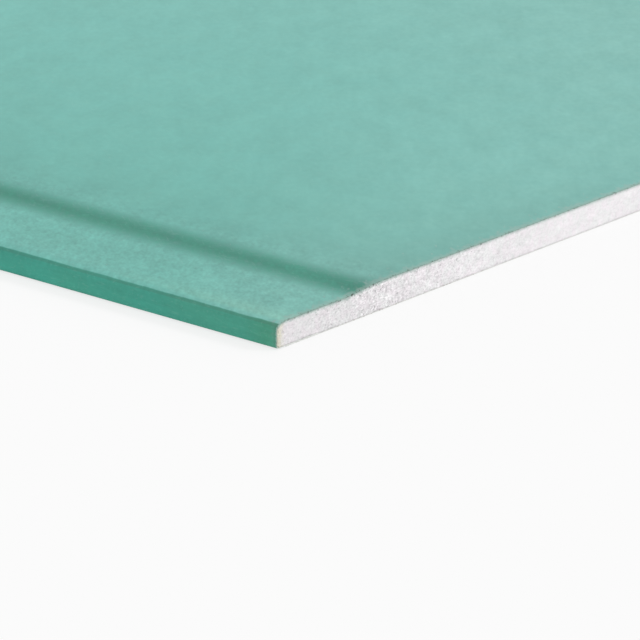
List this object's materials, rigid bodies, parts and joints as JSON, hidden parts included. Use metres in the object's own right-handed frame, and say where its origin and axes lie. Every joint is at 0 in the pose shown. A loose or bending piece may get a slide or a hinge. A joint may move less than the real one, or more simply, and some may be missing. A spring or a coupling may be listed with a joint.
{
  "type": "drywall sheet",
  "caption": "Flat drywall sheet: gypsum core in green face paper that wraps both long tapered edges, with square cut ends and a plain paper back.",
  "frame": {"origin": "middle of the underside, where the sheet lies on a level floor, back paper down", "axes": "+X along the sheet's length, +Y across its width, +Z out of its green face"},
  "size_m": [2.5, 1.2, 0.0125],
  "materials": {
    "green_face_paper": "matte green paper with fine fibres and a soft sheen",
    "gypsum": "matte white gypsum, grainy and porous where cut",
    "plain_back_paper": "matte grey-brown recycled paper, unprinted"
  },
  "bodies": {
    "root": {"face_paper": "green_face_paper", "gypsum_core": "gypsum", "back_paper": "plain_back_paper"}
  },
  "joints": []
}
